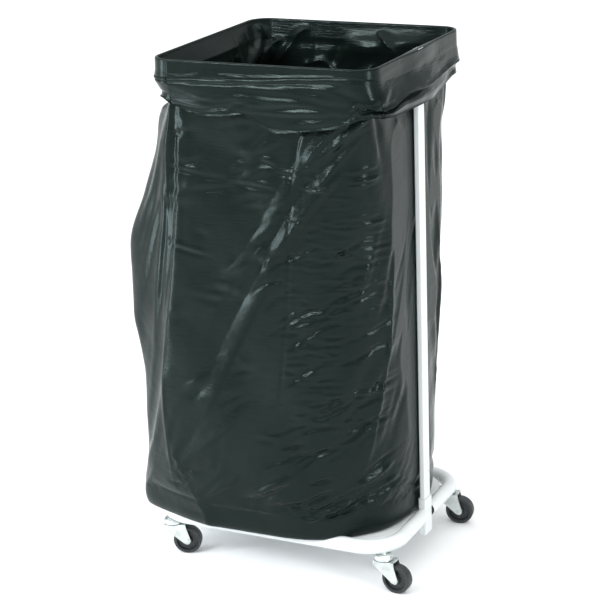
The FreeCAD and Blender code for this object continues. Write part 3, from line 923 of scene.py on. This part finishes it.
WALL_FOLDS = [
    # Long folds drawn out of the gathered front right corner, down to the left. Each is a
    # flap whose broad side faces up to the left
    ("front", [(0.235, 0.814), (0.174, 0.767), (0.121, 0.720), (0.052, 0.602), (-0.026, 0.505),
               (-0.075, 0.405)], 0.0046, 0.020, "flap", (0.06, 0.5)),
    ("front", [(0.19, 0.735), (0.155, 0.694), (0.108, 0.632), (0.052, 0.566)],
     0.0080, 0.022, "flap", (0.2, 0.08)),
    ("front", [(0.19, 0.70), (0.117, 0.628), (0.062, 0.544), (-0.009, 0.416), (-0.039, 0.35),
               (-0.096, 0.251)], 0.0050, 0.020, "flap", (0.25, 0.35)),
    ("front", [(0.21, 0.822), (0.161, 0.780), (0.128, 0.742)], 0.0052, 0.0145, "flap", (0.1, 0.25)),
    ("front", [(0.232, 0.818), (0.195, 0.786), (0.168, 0.758)], 0.0036, 0.0095, "flap", (0.1, 0.25)),
    ("front", [(0.225, 0.79), (0.17, 0.728), (0.14, 0.69)], 0.003, 0.009, "flap", (0.2, 0.4)),
    ("front", [(0.022, 0.328), (-0.015, 0.288), (-0.039, 0.267), (-0.096, 0.22)],
     0.0026, 0.014, "flap", (0.4, 0.4)),
    ("front", [(0.0, 0.216), (-0.017, 0.184), (-0.053, 0.16), (-0.081, 0.14)],
     0.0024, 0.012, "flap", (0.4, 0.4)),
    # Hollows between them
    ("front", [(0.165, 0.81), (0.12, 0.79), (0.108, 0.73)], -0.004, 0.006, "roll", (0.1, 0.4)),
    ("front", [(0.116, 0.782), (0.106, 0.7), (0.093, 0.514), (0.083, 0.41), (0.071, 0.293)],
     -0.0011, 0.0034, "roll", (0.15, 0.2)),
    # A pleat beside the front left crease, and shallow creases that run in from it
    ("front", [(-0.094, 0.81), (-0.096, 0.785), (-0.1, 0.75)], -0.0022, 0.0052, "roll", (0.3, 0.6)),
    ("front", [(-0.121, 0.721), (-0.077, 0.717), (-0.032, 0.708)], 0.0013, 0.004, "pair", (0.05, 0.6)),
    ("front", [(-0.02, 0.706), (0.056, 0.702), (0.09, 0.695)], 0.0014, 0.004, "pair", (0.4, 0.4)),
    ("front", [(0.045, 0.745), (0.083, 0.737)], 0.0015, 0.004, "pair", (0.4, 0.4)),
    ("front", [(-0.13, 0.593), (-0.085, 0.585), (-0.026, 0.577)], 0.0014, 0.004, "pair", (0.05, 0.6)),
    # A wide hollow under the cuff
    ("front", [(-0.12, 0.80), (-0.04, 0.76), (0.06, 0.74), (0.12, 0.77)],
     -0.002, 0.02, "roll", (0.3, 0.3)),
    # Folds low on the front, and the hollows beside them
    ("front", [(-0.01, 0.155), (0.035, 0.168), (0.105, 0.207)], 0.0042, 0.006, "pair", (0.35, 0.35)),
    ("front", [(0.19, 0.163), (0.145, 0.137), (0.1, 0.12)], 0.0056, 0.0100, "flap", (0.25, 0.35)),
    ("front", [(0.232, 0.22), (0.215, 0.2), (0.18, 0.182)], 0.0050, 0.0085, "flap", (0.3, 0.3)),
    ("front", [(0.236, 0.19), (0.215, 0.172), (0.19, 0.158)], 0.0050, 0.0080, "flap", (0.25, 0.25)),
    ("front", [(0.05, 0.15), (0.1, 0.152), (0.17, 0.19)], -0.005, 0.006, "roll", (0.3, 0.3)),
    ("front", [(0.1, 0.13), (0.17, 0.14), (0.24, 0.185)], -0.0055, 0.005, "roll", (0.3, 0.2)),
]
WALL_FAMILIES = [
    # Level ripples, slanting nicks, and streaks beside the post
    dict(face="front", count=130, across=(0.1, 0.235), up=(0.28, 0.74), angle=(-4, 7),
         length=(0.04, 0.1), depth=(0.0003, 0.0011), width=(0.0024, 0.0036)),
    dict(face="front", count=54, across=(0.06, 0.22), up=(0.15, 0.6), angle=(12, 42),
         length=(0.06, 0.12), depth=(-0.0044, -0.0014), width=(0.003, 0.0048),
         shape="roll", bend=0.35),
    dict(face="right", count=20, across=(-0.16, -0.02), up=(0.2, 0.64), angle=(60, 80),
         length=(0.12, 0.28), depth=(0.0008, 0.0020), width=(0.005, 0.009)),
    dict(face="right", count=9, across=(0.03, 0.19), up=(0.3, 0.7), angle=(84, 98),
         length=(0.3, 0.6), depth=(0.001, 0.0028), width=(0.006, 0.012)),
    # Loose folds over each other side, and over the left of the front
    dict(face="front", count=40, across=(-0.12, 0.1), up=(0.15, 0.8), angle=(-14, 50),
         length=(0.04, 0.14), depth=(0.0006, 0.0018), width=(0.004, 0.009)),
    dict(face="left", count=36, across=(-0.08, 0.19), up=(0.14, 0.78), angle=(60, 120),
         length=(0.1, 0.3), depth=(0.0006, 0.0022), width=(0.004, 0.010)),
    dict(face="back", count=50, across=(-0.12, 0.2), up=(0.18, 0.8), angle=(60, 150),
         length=(0.1, 0.3), depth=(0.0005, 0.0019), width=(0.005, 0.011)),
]
# Short level nicks by the front right corner: (middle, height, depth)
NICKS = [
    (0.221, 0.7175, 0.0034), (0.213, 0.7085, 0.0026), (0.161, 0.704, 0.003),
    (0.23, 0.643, 0.0026), (0.184, 0.5905, 0.0034), (0.24, 0.598, 0.0022),
]
NICK_HALF, NICK_FALL, NICK_RISE, NICK_WIDTH = 0.02, 0.001, 0.002, 0.0026
MOUTH_FOLDS = [
    # Creases that show through the mouth, on the wall behind
    ("back", [(-0.09, 0.871), (-0.093, 0.862), (-0.107, 0.851), (-0.124, 0.816)],
     -0.0065, 0.0062, "crease", (0.15, 0.2)),
    ("back", [(-0.031, 0.888), (-0.055, 0.875), (-0.071, 0.851), (-0.103, 0.817)],
     -0.0065, 0.0062, "crease", (0.15, 0.2)),
    ("back", [(-0.053, 0.818), (-0.010, 0.831), (0.009, 0.819), (0.03, 0.803)],
     -0.0065, 0.0062, "crease", (0.15, 0.2)),
    ("back", [(0.094, 0.885), (0.125, 0.858), (0.16, 0.80)], -0.0065, 0.0062, "crease", (0.15, 0.2)),
    # Broader folds among them, and one on the left
    ("back", [(-0.125, 0.893), (-0.16, 0.823)], -0.005, 0.014, "flap", (0.15, 0.3)),
    ("back", [(0.02, 0.862), (0.10, 0.858), (0.2, 0.872)], -0.008, 0.016, "roll", (0.3, 0.3)),
    ("left", [(0.18, 0.892), (0.158, 0.856), (0.09, 0.828), (0.03, 0.815)],
     -0.010, 0.009, "roll", (0.1, 0.2)),
]
MOUTH_FAMILIES = [
    dict(face="back", count=10, across=(0.0, 0.22), up=(0.78, 0.86), angle=(20, 70),
         length=(0.05, 0.12), depth=(0.0006, 0.0016), width=(0.005, 0.009)),
    dict(face="left", count=10, across=(-0.15, 0.17), up=(0.8, 0.87), angle=(30, 150),
         length=(0.04, 0.1), depth=(0.0008, 0.0022), width=(0.005, 0.009)),
]
WALL_RIPPLE_TOP, WALL_RIPPLE_BLEND = 0.85, 0.06
# Folds only lean in from the strip down to this far below its low edge
LEAN_MARGIN, LEAN_BLEND = 0.012, 0.01
POST_CLEARANCE = 0.0012  # the least between the wall and the post


def crease_wall(relief):
    """The sack's own creases. The right side's are drawn up in a broad, low ridge."""
    ridge = [(through(RIDGE_X, z), z) for z in RIDGE_HEIGHTS]
    for face in ("front", "back"):
        relief.fold(face, ridge, depth=0.0022, width=0.0036, shape="crease", fade=(0.05, 0.15))
    for path in (RIGHT_CREASE, FAR_CREASE):
        relief.fold("right", path, depth=0.0034, width=0.0042, shape="crease", fade=(0.05, 0.15))
        relief.fold("right", path, depth=0.0045, width=0.022, shape="crease", fade=(0.05, 0.3))
    relief.fold("left", LEFT_CREASE, depth=0.0035, width=0.005, shape="crease", fade=(0.1, 0.1))


def fold_wall(grid):
    """The wall with its folds."""
    rng = np.random.default_rng(SEED + 1)
    relief = Relief(grid)
    height = grid[..., 2]
    below_cuff = falling(height, WALL_RIPPLE_TOP, WALL_RIPPLE_BLEND)
    relief.ripple(rng, wave_round=0.5, wave_up=0.5, depth=0.0022, where=below_cuff)
    relief.ripple(rng, wave_round=0.12, wave_up=0.16, depth=0.00028, where=below_cuff)
    crease_wall(relief)
    for fold in WALL_FOLDS:
        relief.fold(*fold)
    for family in WALL_FAMILIES:
        relief.scatter(rng, **family)
    for middle, level, depth in NICKS:
        path = [(middle - NICK_HALF, level - NICK_FALL), (middle + NICK_HALF, level + NICK_RISE)]
        relief.fold("front", path, depth, NICK_WIDTH, fade=(0.4, 0.4))
    for fold in MOUTH_FOLDS:
        relief.fold(*fold)
    for family in MOUTH_FAMILIES:
        relief.scatter(rng, **family)

    # Inside the strip the film can only lean in, and it is held at the rim's top
    held = falling(height, CUFF_TOP, TOP_BLEND)
    lean_only = rising(height, rim_low.z - LEAN_MARGIN, LEAN_BLEND)
    leaning = np.minimum(relief.height, 0) * lean_only
    relief.height = held * (leaning + relief.height * (1 - lean_only))
    wall = relief.raised()
    wall[..., 0] = np.minimum(wall[..., 0], POST_FACE - POST_CLEARANCE)
    return wall


# ---- The bottom ------------------------------------------------------------------------

TRAY_REST = tray_high.z + 0.0006
TUBE_REST = TUBE_R + 0.0008  # from the middle of the base tube
OUTSIDE_RING = 0.087  # the film's height outside the base tube
TURN_IN = 0.008  # how far in the wall's turn into the bottom runs
LAST_ROW = 0.04  # the size of the bottom's last row, against its first


def resting_height(points):
    """The height at which film lies over the tray and the base tube, at points from above."""
    half_x = (ring_high.x - ring_low.x) / 2 - TUBE_R - RING_CORNER
    half_y = (ring_high.y - ring_low.y) / 2 - TUBE_R - RING_CORNER
    middle = (ring_low.x + ring_high.x) / 2
    over_x = np.abs(points[..., 0] - middle) - half_x
    over_y = np.abs(points[..., 1]) - half_y
    round_corner = np.hypot(np.maximum(over_x, 0), np.maximum(over_y, 0))
    from_line = round_corner + np.minimum(np.maximum(over_x, over_y), 0) - RING_CORNER
    over_tube = np.sqrt(np.maximum(TUBE_REST**2 - from_line**2, 0))
    tube = (ring_low.z + ring_high.z) / 2 + over_tube
    flat = np.where(from_line < 0, TRAY_REST, OUTSIDE_RING)
    return np.where(np.abs(from_line) < TUBE_REST, np.maximum(tube, flat), flat)


def bottom_grid(edge, turn_rows, flat_rows):
    """From the wall's last row, round the turn and across the bottom to the origin."""
    reach = np.linalg.norm(edge[:, :2], axis=1, keepdims=True)
    inward = -edge[:, :2] / reach
    rows = []
    for angle in np.linspace(0, np.pi / 2, turn_rows + 1)[1:]:
        flat = edge[:, :2] + inward * TURN_IN * (1 - np.cos(angle))
        height = edge[:, 2] + (OUTSIDE_RING - edge[:, 2]) * np.sin(angle)
        rows.append(np.c_[flat, np.maximum(height, resting_height(flat))])
    start = rows[-1][:, :2]
    for share in np.linspace(1, LAST_ROW, flat_rows + 1)[1:]:
        rows.append(np.c_[start * share, resting_height(start * share)])
    return np.stack(rows)


# ---- The whole sack --------------------------------------------------------------------

COLUMNS = 560
CUFF_ROWS, INSIDE_ROWS, WALL_ROWS, TURN_ROWS, BOTTOM_ROWS = 101, 12, 330, 10, 40


def sack_grid():
    """The film from the cuff's hem, over the strip and down inside to the bottom's middle."""
    start = smooth_wall(SIM_ROWS, SIM_COLUMNS)
    settled = settle(start)
    inside = down_inside(INSIDE_ROWS, COLUMNS)
    wall = fold_wall(np.concatenate([inside, resample(settled, WALL_ROWS, COLUMNS)]))
    cuff = fold_cuff(cuff_grid(CUFF_ROWS, COLUMNS))
    bottom = bottom_grid(wall[-1], TURN_ROWS, BOTTOM_ROWS)
    return np.concatenate([cuff[::-1], over_rim(COLUMNS), wall, bottom])


def add_sack():
    """The film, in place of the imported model's plain sack."""
    mesh = grid_mesh("sack", sack_grid(), close_end=True)
    mesh.shade_smooth()
    mesh.materials.append(film())
    sack = bpy.data.objects.new("sack", mesh)
    add_to_scene(sack)
    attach(sack, FRAME_BODY)
    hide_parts("plastic_bag")


def main():
    bpy.context.scene.view_settings.view_transform = "Standard"
    add_camera()
    add_light()
    add_floor()
    paint_frame()
    add_sack()


main()
